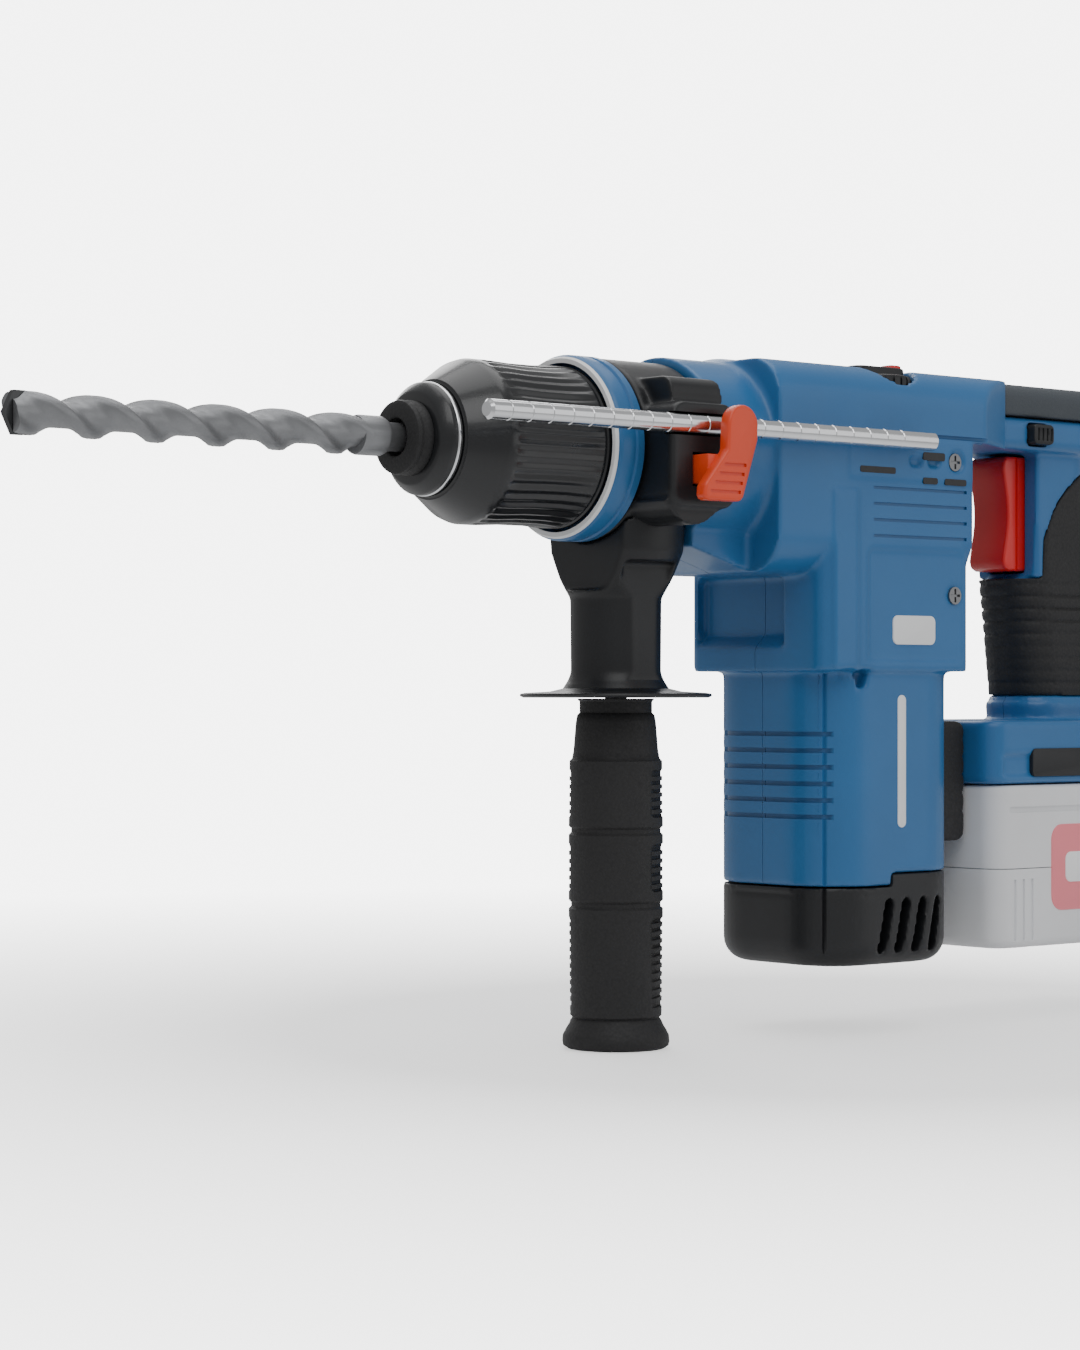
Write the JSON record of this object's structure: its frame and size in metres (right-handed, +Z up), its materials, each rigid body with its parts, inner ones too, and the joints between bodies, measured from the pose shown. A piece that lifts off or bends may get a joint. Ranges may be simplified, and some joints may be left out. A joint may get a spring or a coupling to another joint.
{
  "type": "rotary hammer",
  "caption": "Cordless rotary hammer with standing motor, D-handle, side handle, depth rod, chuck, fluted bit and slide-in battery.",
  "frame": {"origin": "centre of the flat underside of the motor end cap, on the motor axis", "axes": "-X along the spindle towards the bit, +X towards the rear grip, +Z up the motor column, -Y to the tool's left side"},
  "size_m": [0.5381, 0.095, 0.2542],
  "materials": {
    "body_blue": "semi-gloss moulded blue",
    "black_plastic": "fine texture black",
    "grip_rubber": "soft matt black",
    "pad_rubber": "soft matt dark grey",
    "trigger_red": "red",
    "lever_orange": "orange",
    "aluminium": "cast",
    "steel": "ground",
    "dark_steel": "sintered carbide and lamination",
    "chrome": "polished",
    "winding": "copper windings on steel",
    "board": "coated circuit board",
    "pack_grey": "pale grey",
    "cell": "cell sleeve"
  },
  "bodies": {
    "housing": {"left_housing": "body_blue", "right_housing": "body_blue", "collar_ring": "body_blue", "handle_left_shell": "body_blue", "handle_right_shell": "body_blue", "motor_end_cap": "black_plastic", "gear_case": "aluminium", "bearing_bulkhead": "aluminium", "motor_bearing_plate": "aluminium", "spindle_front_bearing": "steel", "nose_seal": "grip_rubber", "spindle_rear_bush": "steel", "countershaft_front_bearing": "steel", "countershaft_rear_bearing": "steel", "stator": "winding", "motor_lower_bearing": "steel", "motor_upper_bearing": "steel", "grip_rubber": "grip_rubber", "top_pad": "pad_rubber", "handle_bridge": "grip_rubber", "switch_module": "black_plastic", "control_board": "board", "terminal_block": "black_plastic", "housing_screw_1": "steel", "housing_screw_2": "steel"},
    "spindle": {"spindle": "steel", "locking_ball_left": "chrome", "locking_ball_right": "chrome", "spindle_gear": "steel", "clutch_spring": "steel", "chuck_ring": "chrome", "dust_cap": "grip_rubber", "sleeve_spring": "steel"},
    "sleeve": {"chuck_sleeve": "black_plastic"},
    "bit": {"drill_bit": "steel", "carbide_tip": "dark_steel"},
    "bolt": {"impact_bolt": "steel"},
    "striker": {"striker": "steel"},
    "piston": {"piston": "aluminium"},
    "wobble": {"wobble_ring": "steel"},
    "countershaft": {"countershaft": "steel", "bevel_gear": "steel"},
    "rotor": {"rotor_shaft": "steel", "rotor_core": "dark_steel", "cooling_fan": "black_plastic"},
    "trigger": {"trigger": "trigger_red"},
    "selector": {"direction_selector": "black_plastic"},
    "dial": {"mode_dial": "black_plastic"},
    "dial_lock": {"mode_lock_button": "trigger_red"},
    "fork": {"shift_fork": "steel"},
    "side_handle": {"clamp_collar": "black_plastic", "handle_neck": "black_plastic"},
    "side_grip": {"side_grip": "grip_rubber"},
    "tie_bolt": {"tie_bolt": "steel"},
    "depth_lock": {"depth_lock_lever": "lever_orange"},
    "depth_rod": {"depth_rod": "chrome"},
    "battery": {"battery_top_shell": "pack_grey", "battery_bottom_shell": "pack_grey", "cell_pack": "cell"},
    "latch": {"battery_latch": "black_plastic"}
  },
  "joints": [
    {"name": "spindle_spin", "type": "hinge", "parent": "housing", "child": "spindle", "pos_m": [0, 0, 0.1905], "axis": [1, 0, 0], "continuous": true},
    {"name": "sleeve_slide", "type": "slide", "parent": "spindle", "child": "sleeve", "axis": [1, 0, 0], "range_m": [0, 0.007], "stiffness_N_per_m": 1500, "springref_m": -0.004, "deforming": ["sleeve_spring"]},
    {"name": "bit_float", "type": "slide", "parent": "spindle", "child": "bit", "axis": [-1, 0, 0], "range_m": [0, 0.009]},
    {"name": "bolt_slide", "type": "slide", "parent": "spindle", "child": "bolt", "axis": [-1, 0, 0], "range_m": [0, 0.0041]},
    {"name": "striker_slide", "type": "slide", "parent": "housing", "child": "striker", "axis": [1, 0, 0], "range_m": [-0.0077, 0.01]},
    {"name": "wobble_swing", "type": "hinge", "parent": "housing", "child": "wobble", "pos_m": [-0.017, 0, 0.162], "axis": [0, 1, 0], "range_deg": [-12, 12]},
    {"name": "piston_slide", "type": "slide", "parent": "housing", "child": "piston", "axis": [1, 0, 0], "range_m": [-0.00596, 0.00596]},
    {"name": "countershaft_spin", "type": "hinge", "parent": "housing", "child": "countershaft", "pos_m": [0, 0, 0.162], "axis": [1, 0, 0], "continuous": true},
    {"name": "rotor_spin", "type": "hinge", "parent": "housing", "child": "rotor", "pos_m": [0, 0, 0], "axis": [0, 0, 1], "continuous": true},
    {"name": "trigger_pull", "type": "slide", "parent": "housing", "child": "trigger", "axis": [1, 0, 0], "range_m": [0, 0.007], "stiffness_N_per_m": 800, "springref_m": -0.003},
    {"name": "direction_select", "type": "slide", "parent": "housing", "child": "selector", "axis": [0, 1, 0], "range_m": [-0.0035, 0.0035]},
    {"name": "mode_turn", "type": "hinge", "parent": "housing", "child": "dial", "pos_m": [0.002, -0.02, 0], "axis": [0, 0, 1], "range_deg": [-90, 90]},
    {"name": "mode_lock_press", "type": "slide", "parent": "dial", "child": "dial_lock", "axis": [0, 0, -1], "range_m": [0, 0.0015], "stiffness_N_per_m": 500, "springref_m": -0.003},
    {"name": "fork_shift", "type": "slide", "parent": "housing", "child": "fork", "axis": [1, 0, 0], "range_m": [-0.004, 0.004]},
    {"name": "side_handle_swivel", "type": "hinge", "parent": "housing", "child": "side_handle", "pos_m": [-0.112, 0, 0.1905], "axis": [1, 0, 0], "range_deg": [-12, 26]},
    {"name": "grip_twist", "type": "hinge", "parent": "side_handle", "child": "side_grip", "pos_m": [-0.112, 0, 0], "axis": [0, 0, 1], "range_deg": [0, 360]},
    {"name": "tie_bolt_slide", "type": "slide", "parent": "side_handle", "child": "tie_bolt", "axis": [0, 0, 1], "range_m": [0, 0.0015]},
    {"name": "depth_lock_press", "type": "slide", "parent": "side_handle", "child": "depth_lock", "axis": [0, 1, 0], "range_m": [0, 0.0025], "stiffness_N_per_m": 800, "springref_m": -0.003},
    {"name": "depth_rod_slide", "type": "slide", "parent": "side_handle", "child": "depth_rod", "axis": [1, 0, 0], "range_m": [-0.1, 0.03]},
    {"name": "battery_slide", "type": "slide", "parent": "housing", "child": "battery", "axis": [1, 0, 0], "range_m": [0, 0.1]},
    {"name": "latch_press", "type": "slide", "parent": "battery", "child": "latch", "axis": [0, 0, -1], "range_m": [0, 0.003], "stiffness_N_per_m": 800, "springref_m": -0.003}
  ],
  "couplings": [
    {"joint": "countershaft_spin", "follows": "spindle_spin", "ratio": -4},
    {"joint": "rotor_spin", "follows": "spindle_spin", "ratio": -12},
    {"joint": "bolt_slide", "follows": "bit_float", "ratio": 0.45},
    {"joint": "wobble_swing", "follows": "piston_slide", "rad_per_m": 35.088},
    {"joint": "fork_shift", "follows": "mode_turn", "m_per_rad": 0.0024},
    {"joint": "grip_twist", "follows": "tie_bolt_slide", "rad_per_m": 4188.8}
  ]
}
